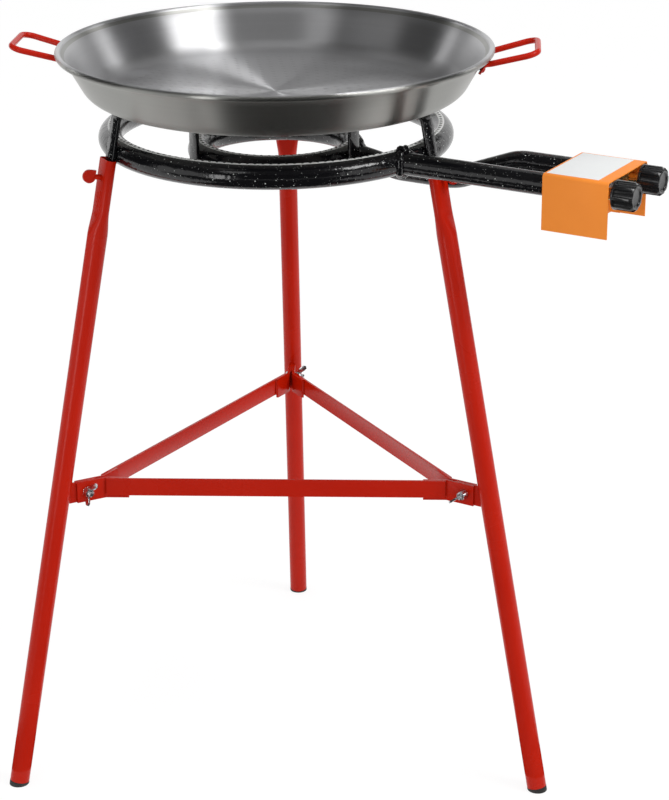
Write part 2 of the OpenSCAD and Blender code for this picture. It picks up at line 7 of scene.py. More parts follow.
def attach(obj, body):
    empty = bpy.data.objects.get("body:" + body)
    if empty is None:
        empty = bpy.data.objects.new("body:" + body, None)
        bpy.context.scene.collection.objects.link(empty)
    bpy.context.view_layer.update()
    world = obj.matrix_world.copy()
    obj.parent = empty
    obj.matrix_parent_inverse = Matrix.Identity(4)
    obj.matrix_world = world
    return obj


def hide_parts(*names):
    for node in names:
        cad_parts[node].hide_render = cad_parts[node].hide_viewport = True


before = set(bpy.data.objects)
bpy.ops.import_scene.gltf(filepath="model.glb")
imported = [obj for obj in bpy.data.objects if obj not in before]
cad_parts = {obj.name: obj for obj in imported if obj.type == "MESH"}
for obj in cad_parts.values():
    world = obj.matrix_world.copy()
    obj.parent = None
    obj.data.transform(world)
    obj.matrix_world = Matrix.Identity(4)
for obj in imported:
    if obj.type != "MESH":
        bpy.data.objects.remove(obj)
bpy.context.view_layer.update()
scene = bpy.context.scene
scene.view_settings.view_transform = "Standard"

# ---- Legs ----
# Three drawn steel tubes lean inwards to the burner. The top of each is pressed to a flat
# oval that slips over a support's foot, and a tab for the braces is welded to its inner
# side. After welding each leg is coated in red baked paint.
BOX_MIDDLE = Vector((0.0540763, 0.0462647, 0.0))
LEG_DIRECTIONS = {"left": 210.0, "right": 330.0, "rear": 90.0}
SPLAY = math.radians(11.2)
FOOT_CIRCLE = 0.359141
LEG_R = 0.0115
LEG_WALL = 0.0012
LEG_SIDES = 48
LEG_START = 0.0045
LEG_TOP = 0.754 / math.cos(SPLAY)
LEG_FLAT_LENGTH = 0.058
LEG_BLEND = 0.030
LEG_FLAT_HALF_T = 0.006
LEG_FLAT_HALF_W = 0.01425
BRACE_Z = 0.362
BOLT_CIRCLE = 0.255
SHEET_T = 0.003
LEG_TAB_HALF_H = 0.0125
LEG_TAB_REACH = (0.243, 0.2772)


class Value:
    """A socket that can be used in sums."""

    def __init__(self, tree, socket):
        self.tree = tree
        self.socket = socket

    def __add__(self, other):
        return self.tree.maths("ADD", self, other)

    def __radd__(self, other):
        return self.tree.maths("ADD", other, self)

    def __sub__(self, other):
        return self.tree.maths("SUBTRACT", self, other)

    def __rsub__(self, other):
        return self.tree.maths("SUBTRACT", other, self)

    def __mul__(self, other):
        return self.tree.maths("MULTIPLY", self, other)

    def __rmul__(self, other):
        return self.tree.maths("MULTIPLY", other, self)

    def __truediv__(self, other):
        return self.tree.maths("DIVIDE", self, other)

    def __gt__(self, other):
        return self.tree.maths("GREATER_THAN", self, other)

    def __lt__(self, other):
        return self.tree.maths("LESS_THAN", self, other)


class Tree:
    """Adds nodes to a tree: the settings come first, then the values or links of the sockets."""

    def __init__(self, node_tree):
        self.node_tree = node_tree

    def add(self, kind, inputs=None, out=0, stops=None, **settings):
        node = self.node_tree.nodes.new(kind)
        for name, setting in settings.items():
            setattr(node, name, setting)
        if stops:
            while len(node.color_ramp.elements) < len(stops):
                node.color_ramp.elements.new(0.5)
            for element, (position, grey) in zip(node.color_ramp.elements, stops):
                element.position = position
                element.color = (grey, grey, grey, 1.0)
        for name, given in (inputs or {}).items():
            if isinstance(given, Value):
                self.node_tree.links.new(given.socket, node.inputs[name])
            else:
                node.inputs[name].default_value = given
        return Value(self, node.outputs[out]) if len(node.outputs) else node

    def maths(self, operation, *terms):
        return self.add("ShaderNodeMath", dict(enumerate(terms)), operation=operation)

    def mix(self, factor, first, second):
        first, second = [(*colour, 1.0) if isinstance(colour, tuple) else colour for colour in (first, second)]
        return self.add("ShaderNodeMix", {0: factor, 6: first, 7: second}, out=2, data_type="RGBA")

    def noise(self, where, scale, detail=2.0, roughness=0.5):
        sockets = {"Vector": where, "Scale": scale, "Detail": detail, "Roughness": roughness}
        return self.add("ShaderNodeTexNoise", sockets)

    def ramp(self, value, *stops):
        return self.add("ShaderNodeValToRGB", {"Fac": value}, stops=stops)

    def bump(self, height, distance):
        return self.add("ShaderNodeBump", {"Height": height, "Distance": distance})

    def feed(self, shader, **sockets):
        for name, value in sockets.items():
            self.node_tree.links.new(value.socket, shader.inputs[name.replace("_", " ")])


def new_material(name, colour, roughness, metallic=0.0):
    """A material with its plain values set, its tree, its shader and the object's own coordinates."""
    made = bpy.data.materials.new(name)
    made.use_nodes = True
    shader = made.node_tree.nodes["Principled BSDF"]
    shader.inputs["Base Color"].default_value = (*colour, 1.0)
    shader.inputs["Roughness"].default_value = roughness
    shader.inputs["Metallic"].default_value = metallic
    tree = Tree(made.node_tree)
    return made, tree, shader, tree.add("ShaderNodeTexCoord", out=3)


red_paint, tree, shader, spot = new_material("red baked paint", (0.48, 0.011, 0.001), 0.25)
cloud = tree.noise(spot, 14.0, 3.0)
peel = tree.noise(spot, 620.0, 1.0)
dust = tree.ramp(tree.noise(spot, 1500.0, 2.0, 0.7), (0.70, 0.0), (0.78, 1.0))
red = tree.mix(cloud, (0.46, 0.009, 0.001), (0.55, 0.013, 0.001))
tree.feed(shader, Base_Color=tree.mix(dust * 0.25, red, (0.62, 0.05, 0.03)),
          Roughness=0.20 + 0.12 * cloud + 0.2 * dust, Normal=tree.bump(peel + 0.3 * dust, 0.00008))
shader.inputs["Specular IOR Level"].default_value = 0.17


def at_side(direction):
    """The upright plane through the burner's axis that looks in a direction."""
    return Matrix.Translation(-BOX_MIDDLE) @ Matrix.Rotation(math.radians(direction), 4, "Z")


def at_leg(direction):
    """A leg's own axis, from the floor up."""
    return at_side(direction) @ Matrix.Translation((FOOT_CIRCLE, 0, 0)) @ Matrix.Rotation(-SPLAY, 4, "Y")


def skin(rings, looped=False):
    """Joins rings of points into one closed surface, with caps unless the rings come round again."""
    count = len(rings[0])
    points = [Vector(point) for ring in rings for point in ring]
    faces = []
    for i in range(len(rings) if looped else len(rings) - 1):
        here, there = i * count, (i + 1) % len(rings) * count
        faces += [(here + j, here + (j + 1) % count, there + (j + 1) % count, there + j) for j in range(count)]
    if not looped:
        faces += [tuple(reversed(range(count))), tuple(range(len(points) - count, len(points)))]
    return points, faces


def block(low, high, edge):
    """A flat bar or plate with its sharp edges broken."""
    shape = bmesh.new()
    bmesh.ops.create_cube(shape, size=1.0)
    for vert in shape.verts:
        vert.co = [low[k] if vert.co[k] < 0 else high[k] for k in range(3)]
    bmesh.ops.bevel(shape, geom=shape.edges[:], offset=edge, segments=3, profile=0.5, affect="EDGES")
    shape.verts.index_update()
    points = [vert.co.copy() for vert in shape.verts]
    faces = [tuple(vert.index for vert in face.verts) for face in shape.faces]
    shape.free()
    return points, faces


def moved(shape, place):
    return [place @ point for point in shape[0]], shape[1]


def together(*shapes):
    points, faces = [], []
    for more_points, more_faces in shapes:
        faces += [tuple(i + len(points) for i in face) for face in more_faces]
        points += more_points
    return points, faces


def mesh_of(name, shape, sharp=40.0):
    """A smooth mesh with merged seams, outward faces and edges kept sharp past an angle."""
    mesh = bpy.data.meshes.new(name)
    mesh.from_pydata([tuple(point) for point in shape[0]], [], shape[1])
    tidy = bmesh.new()
    tidy.from_mesh(mesh)
    bmesh.ops.remove_doubles(tidy, verts=tidy.verts, dist=1e-6)
    bmesh.ops.recalc_face_normals(tidy, faces=tidy.faces)
    tidy.to_mesh(mesh)
    tidy.free()
    mesh.shade_smooth()
    mesh.set_sharp_from_angle(angle=math.radians(sharp))
    return mesh


def settle(name, mesh, material, body, slot, *nodes):
    """Puts a finished mesh in the scene as a piece that stands for its CAD nodes."""
    if material:
        mesh.materials.clear()
        mesh.materials.append(material)
    piece = bpy.data.objects.new(name, mesh)
    scene.collection.objects.link(piece)
    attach(piece, body)
    if nodes:
        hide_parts(*nodes)
    return piece


def leg_ring(height, shrink):
    """The leg's outline at a height: round below, and pressed to a flat oval at the top."""
    pressed = min(max((height - LEG_TOP + LEG_FLAT_LENGTH + LEG_BLEND) / LEG_BLEND, 0.0), 1.0)
    pressed = pressed * pressed * (3 - 2 * pressed)
    thick = LEG_R + (LEG_FLAT_HALF_T - LEG_R) * pressed - shrink
    wide = LEG_R + (LEG_FLAT_HALF_W - LEG_R) * pressed - shrink
    ring = []
    for step in range(LEG_SIDES):
        angle = 2 * math.pi * step / LEG_SIDES
        slide = (wide - thick) * ((math.sin(angle) > 1e-6) - (math.sin(angle) < -1e-6))
        ring.append((thick * math.cos(angle), slide + thick * math.sin(angle), height))
    return ring


def leg_shape():
    """The tube's outside, its lip at the top, and its inside back down to the foot."""
    blend_start = LEG_TOP - LEG_FLAT_LENGTH - LEG_BLEND
    heights = [LEG_START + (blend_start - LEG_START) * step / 12 for step in range(12)]
    heights += [blend_start + LEG_BLEND * step / 14 for step in range(15)]
    outer = [leg_ring(height, 0) for height in heights + [LEG_TOP - 0.0005]]
    lip = [leg_ring(LEG_TOP, 0.0004), leg_ring(LEG_TOP, LEG_WALL - 0.0004)]
    inner = [leg_ring(height, LEG_WALL) for height in [LEG_TOP - 0.0005] + heights[::-1]]
    return skin(outer + lip + inner, looped=True)


def shaping_tree(name, **inputs):
    """A geometry tree with named inputs, and its inputs as values. The last one is the finish."""
    group = bpy.data.node_groups.new(name, "GeometryNodeTree")
    for label, kind in (*inputs.items(), ("Finish", "Material")):
        group.interface.new_socket(label.replace("_", " "), in_out="INPUT", socket_type="NodeSocket" + kind)
    group.interface.new_socket("Made", in_out="OUTPUT", socket_type="NodeSocketGeometry")
    tree = Tree(group)
    given = group.nodes.new("NodeGroupInput")
    return tree, *[Value(tree, socket) for socket in list(given.outputs)[:len(inputs) + 1]]


def finished(tree, shape, finish):
    """Closes a geometry tree: one plain mesh in its finish."""
    shape = tree.add("GeometryNodeRealizeInstances", {"Geometry": shape})
    shape = tree.add("GeometryNodeSetMaterial", {"Geometry": shape, "Material": finish})
    tree.node_tree.links.new(shape.socket, tree.node_tree.nodes.new("NodeGroupOutput").inputs[0])
    return tree.node_tree


# A weld bead follows an edge: its radius swells and shrinks with each drop of metal.
def weld_tree():
    sockets = {"Seam": "Geometry", "Radius": "Float", "Drop_Spacing": "Float"}
    tree, seam, radius, spacing, finish = shaping_tree("weld bead", **sockets)
    curve = tree.add("GeometryNodeMeshToCurve", {"Mesh": seam})
    curve = tree.add("GeometryNodeResampleCurve", {"Curve": curve, "Length": spacing * 0.25}, mode="LENGTH")
    along = tree.add("GeometryNodeSplineParameter", out=1)
    drops = tree.maths("ABSOLUTE", tree.maths("SINE", along / spacing * math.pi))
    place = tree.add("GeometryNodeInputPosition")
    uneven = tree.add("ShaderNodeTexNoise", {"Vector": place, "Scale": 260.0})
    swell = 0.62 + 0.30 * drops + 0.30 * uneven
    round_section = tree.add("GeometryNodeCurvePrimitiveCircle", {"Resolution": 10, "Radius": radius})
    sockets = {"Curve": curve, "Profile Curve": round_section, "Scale": swell, "Fill Caps": True}
    bead = tree.add("GeometryNodeCurveToMesh", sockets)
    return finished(tree, tree.add("GeometryNodeSetShadeSmooth", {"Geometry": bead}), finish)


def grown(group, start, finishing=None, **given):
    """Runs a geometry tree on a mesh and gives back the plain mesh that it makes."""
    holder = bpy.data.objects.new("holder", start)
    scene.collection.objects.link(holder)
    modifier = holder.modifiers.new("shape", "NODES")
    modifier.node_group = group
    for item in group.interface.items_tree:
        name = item.name.replace(" ", "_").lower()
        if item.in_out == "INPUT" and name in given:
            modifier[item.identifier] = given[name]
    if finishing:
        finishing(holder)
    made = bpy.data.meshes.new_from_object(holder.evaluated_get(bpy.context.evaluated_depsgraph_get()))
    bpy.data.objects.remove(holder)
    return made


def lines_mesh(name, lines, looped=False):
    """A mesh of open or looped lines, one for each seam."""
    points, edges = [], []
    for line in lines:
        first = len(points)
        points += [tuple(point) for point in line]
        edges += [(first + i, first + i + 1) for i in range(len(line) - 1)]
        if looped:
            edges.append((len(points) - 1, first))
    mesh = bpy.data.meshes.new(name)
    mesh.from_pydata(points, edges, [])
    return mesh


weld_bead = weld_tree()


def welded(name, seams, radius, spacing, finish, slot, looped=False):
    """A weld bead along each seam, as one piece of the stand."""
    line = lines_mesh(name, seams, looped)
    bead = grown(weld_bead, line, radius=radius, drop_spacing=spacing, finish=finish)
    settle(name, bead, None, "stand", slot)


tab = block((LEG_TAB_REACH[0], -SHEET_T / 2, BRACE_Z - LEG_TAB_HALF_H),
            (LEG_TAB_REACH[1], SHEET_T / 2, BRACE_Z + LEG_TAB_HALF_H), 0.0006)
leg_seams = []
for name, direction in LEG_DIRECTIONS.items():
    shape = together(moved(leg_shape(), at_leg(direction)), moved(tab, at_side(direction)))
    settle("leg_" + name + "_tube", mesh_of("leg_" + name + "_tube", shape), red_paint, "stand", "red_paint",
           "leg_" + name)
    for turn in (-1, 1):
        ends = [Vector((FOOT_CIRCLE - z * math.tan(SPLAY) - LEG_R - 0.00005, turn * 0.0022, z))
                for z in (BRACE_Z - 0.011, BRACE_Z + 0.011)]
        leg_seams.append([at_side(direction) @ end for end in ends])
welded("leg_tab_welds", leg_seams, 0.0014, 0.0022, red_paint, "red_paint")

# ---- Foot plugs ----
# Moulded black plastic plugs pushed into the open ends of the legs. Each has a flange that
# is cut level with the floor, so that the leaning leg stands flat.
plug_black, tree, shader, spot = new_material("matt black plug", (0.02, 0.02, 0.02), 0.65)
grain = tree.noise(spot, 900.0, 3.0, 0.6)
scuff = tree.ramp(tree.noise(spot, 130.0, 4.0, 0.7), (0.50, 0.0), (0.75, 1.0))
tree.feed(shader, Base_Color=tree.mix(scuff, (0.014, 0.014, 0.014), (0.045, 0.043, 0.040)),
          Roughness=0.5 + 0.25 * grain, Normal=tree.bump(grain, 0.00006))


def dressed(name, node, material, body, slot, edge, sharp=35.0):
    """A copy of a CAD node with merged faces and its sharp edges rounded off."""
    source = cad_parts[node]
    shape = bmesh.new()
    shape.from_mesh(source.data)
    shape.transform(source.matrix_world)
    bmesh.ops.remove_doubles(shape, verts=shape.verts, dist=2e-6)
    bmesh.ops.dissolve_limit(shape, angle_limit=math.radians(0.5), verts=shape.verts, edges=shape.edges)
    mesh = bpy.data.meshes.new(name)
    shape.to_mesh(mesh)
    shape.free()
    mesh.shade_smooth()
    holder = bpy.data.objects.new("holder", mesh)
    scene.collection.objects.link(holder)
    bevel = holder.modifiers.new("edges", "BEVEL")
    bevel.width = edge
    bevel.segments = 2
    bevel.limit_method = "ANGLE"
    bevel.angle_limit = math.radians(sharp)
    bevel.use_clamp_overlap = True
    bevel.harden_normals = True
    made = bpy.data.meshes.new_from_object(holder.evaluated_get(bpy.context.evaluated_depsgraph_get()))
    bpy.data.objects.remove(holder)
    made.name = name
    return settle(name, made, material, body, slot, node)


for name in LEG_DIRECTIONS:
    dressed("foot_plug_" + name + "_moulding", "foot_plug_" + name, plug_black, "stand", "plug_plastic", 0.0007)

# ---- Braces ----
# Three flat steel bars tie the legs together halfway up. A short plate is welded inside
# each end and bent to lie on the leg's tab, where two braces meet under one bolt.
BRACE_PLATE_X = 0.172
BRACE_BAR_Y = -0.5 * (BOLT_CIRCLE - 0.023) - SHEET_T * math.cos(math.radians(30)) - 0.5 * SHEET_T
for name in ("front", "right", "left"):
    dressed("brace_" + name + "_bar", "brace_" + name, red_paint, "stand", "red_paint", 0.0005)
brace_seams = []
for direction in (0.0, 120.0, 240.0):
    for turn in (-1, 1):
        ends = [Vector((turn * (BRACE_PLATE_X - 0.0003), BRACE_BAR_Y + 0.0008, BRACE_Z + z))
                for z in (-0.0085, 0.0115)]
        brace_seams.append([at_side(direction) @ end for end in ends])
welded("brace_plate_welds", brace_seams, 0.0016, 0.0024, red_paint, "red_paint")

# ---- Brace bolts, washers and wing nuts ----
# Bright zinc-plated hardware: a domed bolt passes through both braces and the leg's tab,
# and a pressed wing nut on a plain washer draws them together by hand.
BOLT_R = 0.003
BOLT_HEAD_R = 0.0065
STACK = 0.0045
NUT_SIDE = {"left": 1, "right": -1, "rear": -1}
zinc, tree, shader, spot = new_material("bright zinc plate", (0.72, 0.73, 0.75), 0.28, 1.0)
cloud = tree.noise(spot, 240.0, 3.0)
pit = tree.ramp(tree.noise(spot, 1800.0, 2.0, 0.7), (0.62, 0.0), (0.74, 1.0))
tree.feed(shader, Base_Color=tree.mix(cloud, (0.58, 0.59, 0.62), (0.82, 0.83, 0.85)),
          Roughness=0.18 + 0.18 * cloud + 0.1 * pit, Normal=tree.bump(cloud + 0.3 * pit, 0.00006))


def turned(profile, sides):
    """A lathe-turned shape about Z from pairs of radius and height, bottom to top."""
    angles = [2 * math.pi * step / sides for step in range(sides)]
    return skin([[(r * math.cos(a), r * math.sin(a), z) for a in angles] for r, z in profile])


def at_bolt(name):
    """A brace bolt's own axis, which points to the side that carries its wing nut."""
    place = at_side(LEG_DIRECTIONS[name]) @ Matrix.Translation((BOLT_CIRCLE, 0, BRACE_Z))
    return place @ Matrix.Rotation(-math.pi / 2 * NUT_SIDE[name], 4, "X")


# Pieces of one kind are set out on points that each carry their own turn.
def set_out_tree():
    tree, places, pattern, finish = shaping_tree("set out", Places="Geometry", Pattern="Object")
    pattern = tree.add("GeometryNodeObjectInfo", {"Object": pattern}, out=4)
    turn = tree.add("GeometryNodeInputNamedAttribute", {"Name": "turn"}, data_type="FLOAT_VECTOR")
    sockets = {"Points": places, "Instance": pattern, "Rotation": turn}
    return finished(tree, tree.add("GeometryNodeInstanceOnPoints", sockets), finish)


set_out = set_out_tree()


def set_out_at(name, shape, places, material):
    """One mesh with a copy of the shape at each place."""
    pattern = bpy.data.objects.new("pattern", mesh_of(name, shape))
    scene.collection.objects.link(pattern)
    points = bpy.data.meshes.new(name + " places")
    points.from_pydata([place.to_translation() for place in places], [], [])
    turns = points.attributes.new("turn", "FLOAT_VECTOR", "POINT")
    for stored, place in zip(turns.data, places):
        stored.vector = place.to_euler()
    made = grown(set_out, points, pattern=pattern, finish=material)
    bpy.data.objects.remove(pattern)
    made.name = name
    return made


dome = [(BOLT_HEAD_R * math.sin(math.radians(a)), -STACK - 0.004 * math.cos(math.radians(a)) ** 0.8)
        for a in (0, 12, 24, 36, 48, 60, 70, 78, 84)]
head = dome + [(BOLT_HEAD_R, -STACK - 0.0005), (BOLT_HEAD_R - 0.0002, -STACK), (BOLT_R, -STACK)]
ridges = [(BOLT_R - (0.0004 if step % 2 else 0.0), STACK + 0.0012 + 0.0005 * step) for step in range(21)]
bolt = turned(head + [(BOLT_R, STACK)] + ridges + [(BOLT_R - 0.0007, STACK + 0.0122)], 28)
bolts = set_out_at("brace_bolts_turned", bolt, [at_bolt(name) for name in LEG_DIRECTIONS], zinc)
settle("brace_bolts_turned", bolts, None, "stand", "zinc", *["brace_bolt_" + name for name in LEG_DIRECTIONS])
hole, rim = BOLT_R + 0.0003, 0.006
ring = [(hole, STACK), (rim - 0.0003, STACK), (rim, STACK + 0.0003), (rim, STACK + 0.0009),
        (rim - 0.0003, STACK + 0.0012), (hole + 0.0002, STACK + 0.0012), (hole, STACK + 0.001)]
washer = skin([[(r * math.cos(math.pi * step / 16), r * math.sin(math.pi * step / 16), z) for step in range(32)]
               for r, z in ring], looped=True)
washers = set_out_at("brace_washers_stamped", washer, [at_bolt(name) for name in LEG_DIRECTIONS], zinc)
settle("brace_washers_stamped", washers, None, "stand", "zinc", "brace_washers")
for name in LEG_DIRECTIONS:
    dressed("wing_nut_" + name + "_pressed", "wing_nut_" + name, zinc, "nut_" + name, "zinc", 0.0006, 30.0)

# ---- Leg screws ----
# A red-painted thumb screw through each pressed leg top grips the support's foot inside.
# Its flat round head is welded on edge to the threaded shank.
for name in LEG_DIRECTIONS:
    dressed("leg_screw_" + name + "_thumb", "leg_screw_" + name, red_paint, "screw_" + name, "red_paint",
            0.0007)

# ---- Burner rings ----
# Two rings of bent steel tube, each with a row of flame ports drilled along its crest and
# each fed by its own supply pipe. The inner pipe dips under the outer ring. Both are
# coated in black enamel with pale specks. A pale band painted along the crest, which the
# ports break up, is a painted highlight.
RING_Z = 0.758
PIPE_TURN = -28.5
OUTER_RING_R = 0.1905
INNER_RING_R = 0.0885
RING_TUBE_R = 0.014
INNER_DROP = 0.018
PORT_PITCH = 0.0085
PORT_R = 0.0012
PORT_LEAN = math.radians(2)
PORT_FIELD = math.radians(18)
SECTOR_STEPS = 4
SECTOR_BORDER = 4 * SECTOR_STEPS
# The painted crest highlight's share in the ring around each port, which the ramp turns to none.
PORT_LIP_HIGHLIGHT = 0.15
PIPE_R = 0.0125
PIPE_WALL = 0.0015
PIPE_END = 0.404
OUTER_PIPE_Y = -0.047
INNER_PIPE_Y = 0.023

enamel, tree, shader, spot = new_material("black speckled enamel", (0.004, 0.004, 0.005), 0.12)


def specks(scale, share, smallest, largest):
    """Round specks scattered through the enamel, one to a cell, in a share of the cells."""
    cells = {"Vector": spot, "Scale": scale}
    near = tree.add("ShaderNodeTexVoronoi", cells)
    cell_colour = tree.add("ShaderNodeTexVoronoi", cells, out=1)
    pick = tree.add("ShaderNodeSeparateColor", {0: cell_colour})
    size = tree.add("ShaderNodeSeparateColor", {0: cell_colour}, out=1)
    return (near < smallest + (largest - smallest) * size) * (pick > 1.0 - share) * (0.4 + 0.6 * size)


speck = tree.maths("MAXIMUM", specks(260.0, 0.32, 0.08, 0.18), 0.5 * specks(700.0, 0.16, 0.12, 0.28))
# Painted highlight: a pale band along the crest, which the dark ports break into a serrated line.
thin = tree.ramp(tree.add("ShaderNodeAttribute", out=2, attribute_name="thin_enamel"), (0.16, 0.0), (0.34, 1.0))
flow = tree.noise(spot, 150.0, 2.0)
speckled = tree.mix(speck, (0.004, 0.004, 0.005), (0.60, 0.63, 0.60))
tree.feed(shader, Base_Color=tree.mix(thin, speckled, (0.90, 0.92, 0.90)),
          Roughness=0.11 + 0.08 * flow, Normal=tree.bump(flow + 0.15 * speck, 0.0004))


def at_pipes():
    """The supply pipes' frame: X runs out along them at the outer ring's height."""
    return at_side(PIPE_TURN) @ Matrix.Translation((0, 0, RING_Z))


def ring_sector(ring_r, count):
    """One flame port's share of a ring tube: the field around it, the drilled port, and the rest."""
    port_at = math.pi / 2 + PORT_LEAN
    half_turn, rolls = math.pi / count, 36
    reach = ring_r + RING_TUBE_R * math.cos(port_at)

    def on_tube(turn, roll, depth=0.0):
        r = RING_TUBE_R - depth
        out = ring_r + r * math.cos(roll)
        return Vector((out * math.cos(turn), out * math.sin(turn), r * math.sin(roll)))

    along = [-1 + 2 * k / SECTOR_STEPS for k in range(SECTOR_STEPS)]
    border = [(a, -1) for a in along] + [(1, a) for a in along]
    border += [(-a, -b) for a, b in border]
    around_port = [math.atan2(b, a) for a, b in border]
    rings = [[on_tube(a * half_turn, port_at + b * PORT_FIELD) for a, b in border]]
    lip = ((2.0, -0.00003), (1.35, -0.00022), (1.1, -0.00015), (1.0, 0.0003), (1.0, 0.003))
    for times, depth in lip:
        r = PORT_R * times
        rings.append([on_tube(r * math.cos(a) / reach, port_at + r * math.sin(a) / RING_TUBE_R, depth)
                      for a in around_port])
    n = SECTOR_BORDER
    points = [point for ring in rings for point in ring]
    faces = [(i * n + j, i * n + (j + 1) % n, (i + 1) * n + (j + 1) % n, (i + 1) * n + j)
             for i in range(len(rings) - 1) for j in range(n)]
    faces.append(tuple(range((len(rings) - 1) * n, len(rings) * n)))
    first, width = len(points), SECTOR_STEPS + 1
    for i in range(rolls + 1):
        roll = port_at + PORT_FIELD + (2 * math.pi - 2 * PORT_FIELD) * i / rolls
        points += [on_tube((-1 + 2 * k / SECTOR_STEPS) * half_turn, roll) for k in range(width)]
    faces += [(first + i * width + k, first + (i + 1) * width + k, first + (i + 1) * width + k + 1,
               first + i * width + k + 1) for i in range(rolls) for k in range(SECTOR_STEPS)]
    return points, faces


# A ring is one sector repeated about its axis, with the seams between them merged.
def around_tree():
    sockets = {"Sector": "Geometry", "Count": "Int", "First_Turn": "Float"}
    tree, sector, count, first_turn, finish = shaping_tree("repeated around", **sockets)
    points = tree.add("GeometryNodePoints", {"Count": count})
    step = tree.add("GeometryNodeInputIndex")
    turn = tree.add("ShaderNodeCombineXYZ", {"Z": (step + first_turn) * (2 * math.pi) / count})
    whole = tree.add("GeometryNodeInstanceOnPoints", {"Points": points, "Instance": sector, "Rotation": turn})
    whole = tree.add("GeometryNodeRealizeInstances", {"Geometry": whole})
    return finished(tree, tree.add("GeometryNodeMergeByDistance", {"Geometry": whole, "Distance": 2e-6}), finish)


# A bent pipe is one round section that follows a line with rounded corners.
def bent_pipe_tree():
    sockets = {"Line": "Geometry", "Radius": "Float", "Bend_Radius": "Float"}
    tree, line, radius, bend, finish = shaping_tree("bent pipe", **sockets)
    curve = tree.add("GeometryNodeMeshToCurve", {"Mesh": line})
    curve = tree.add("GeometryNodeFilletCurve", {"Curve": curve, "Count": 14, "Radius": bend}, mode="POLY")
    section = tree.add("GeometryNodeCurvePrimitiveCircle", {"Resolution": 40, "Radius": radius})
    pipe = tree.add("GeometryNodeCurveToMesh", {"Curve": curve, "Profile Curve": section})
    return finished(tree, tree.add("GeometryNodeSetShadeSmooth", {"Geometry": pipe}), finish)


around = around_tree()
bent_pipe = bent_pipe_tree()


def pipe_mesh(path, pipe_y):
    """A hollow supply pipe with air windows cut through both its sides, just ahead of its jet."""
    window = block((PIPE_END - 0.034, pipe_y - 0.02, -0.0055), (PIPE_END - 0.014, pipe_y + 0.02, 0.0055), 0.001)
    cutter = bpy.data.objects.new("cutter", mesh_of("window", window))
    scene.collection.objects.link(cutter)

    def wall_and_windows(holder):
        wall = holder.modifiers.new("wall", "SOLIDIFY")
        wall.thickness = PIPE_WALL
        wall.offset = -1.0
        cut = holder.modifiers.new("windows", "BOOLEAN")
        cut.object = cutter
        cut.operation = "DIFFERENCE"

    line = lines_mesh("pipe line", [path])
    made = grown(bent_pipe, line, wall_and_windows, radius=PIPE_R, bend_radius=0.060, finish=enamel)
    bpy.data.objects.remove(cutter)
    return made


def seam_around(start, heading, ring_r, ring_z):
    """The line where a supply pipe meets its ring's tube."""
    heading = heading.normalized()
    across = heading.orthogonal().normalized()
    other = heading.cross(across)
    seam = []
    for step in range(72):
        angle = 2 * math.pi * step / 72
        spoke = PIPE_R * (math.cos(angle) * across + math.sin(angle) * other)
        inside, outside = 0.0, 0.06
        for halving in range(30):
            middle = (inside + outside) / 2
            point = start + spoke + middle * heading
            gap = math.hypot(math.hypot(point.x, point.y) - ring_r, point.z - ring_z) - RING_TUBE_R
            inside, outside = (middle, outside) if gap < 0 else (inside, middle)
        seam.append(start + spoke + outside * heading)
    return seam


def ring_piece(name, node, ring_r, drop, path, pipe_y):
    """One ring with its row of ports, and the supply pipe that runs out from it."""
    count = round(2 * math.pi * ring_r / PORT_PITCH)
    sector = bpy.data.meshes.new("sector")
    points, faces = ring_sector(ring_r, count)
    sector.from_pydata([tuple(point) for point in points], [], faces)
    # A painted highlight: the pale band is strongest along the crest, fades away from it, and is left out around
    # each port.
    thin = sector.attributes.new("thin_enamel", "FLOAT", "POINT")
    for i, point in enumerate(points[:2 * SECTOR_BORDER]):
        roll = math.atan2(point.z, math.hypot(point.x, point.y) - ring_r)
        thin.data[i].value = 1.0 - abs(roll - math.pi / 2 - PORT_LEAN) / PORT_FIELD
    for i in range(2 * SECTOR_BORDER, 3 * SECTOR_BORDER):
        thin.data[i].value = PORT_LIP_HIGHLIGHT
    ring = grown(around, sector, count=count, first_turn=0.5, finish=enamel)
    ring.transform(Matrix.Translation((0, 0, -drop)))
    whole = bmesh.new()
    whole.from_mesh(ring)
    whole.from_mesh(pipe_mesh(path, pipe_y))
    bmesh.ops.recalc_face_normals(whole, faces=whole.faces)
    mesh = bpy.data.meshes.new(name)
    whole.to_mesh(mesh)
    whole.free()
    mesh.transform(at_pipes())
    mesh.shade_smooth()
    mesh.set_sharp_from_angle(angle=math.radians(45))
    settle(name, mesh, enamel, "stand", "black_enamel", node)


outer_root = Vector((math.sqrt(OUTER_RING_R ** 2 - OUTER_PIPE_Y ** 2), OUTER_PIPE_Y, 0))
inner_root = Vector((math.sqrt(INNER_RING_R ** 2 - INNER_PIPE_Y ** 2), INNER_PIPE_Y, -INNER_DROP))
outer_path = [outer_root, Vector((PIPE_END, OUTER_PIPE_Y, 0))]
inner_path = [inner_root] + [Vector((x, INNER_PIPE_Y, z)) for x, z in
                             ((0.150, -0.0295), (0.222, -0.0295), (0.300, 0.0), (PIPE_END, 0.0))]
ring_piece("outer_ring_ported", "outer_ring", OUTER_RING_R, 0.0, outer_path, OUTER_PIPE_Y)
ring_piece("inner_ring_ported", "inner_ring", INNER_RING_R, INNER_DROP, inner_path, INNER_PIPE_Y)
pipe_seams = [seam_around(outer_root, outer_path[1] - outer_path[0], OUTER_RING_R, 0.0),
              seam_around(inner_root, inner_path[1] - inner_path[0], INNER_RING_R, -INNER_DROP)]
pipe_seams = [[at_pipes() @ point for point in seam] for seam in pipe_seams]
welded("pipe_welds", pipe_seams, 0.0046, 0.0075, enamel, "black_enamel", looped=True)
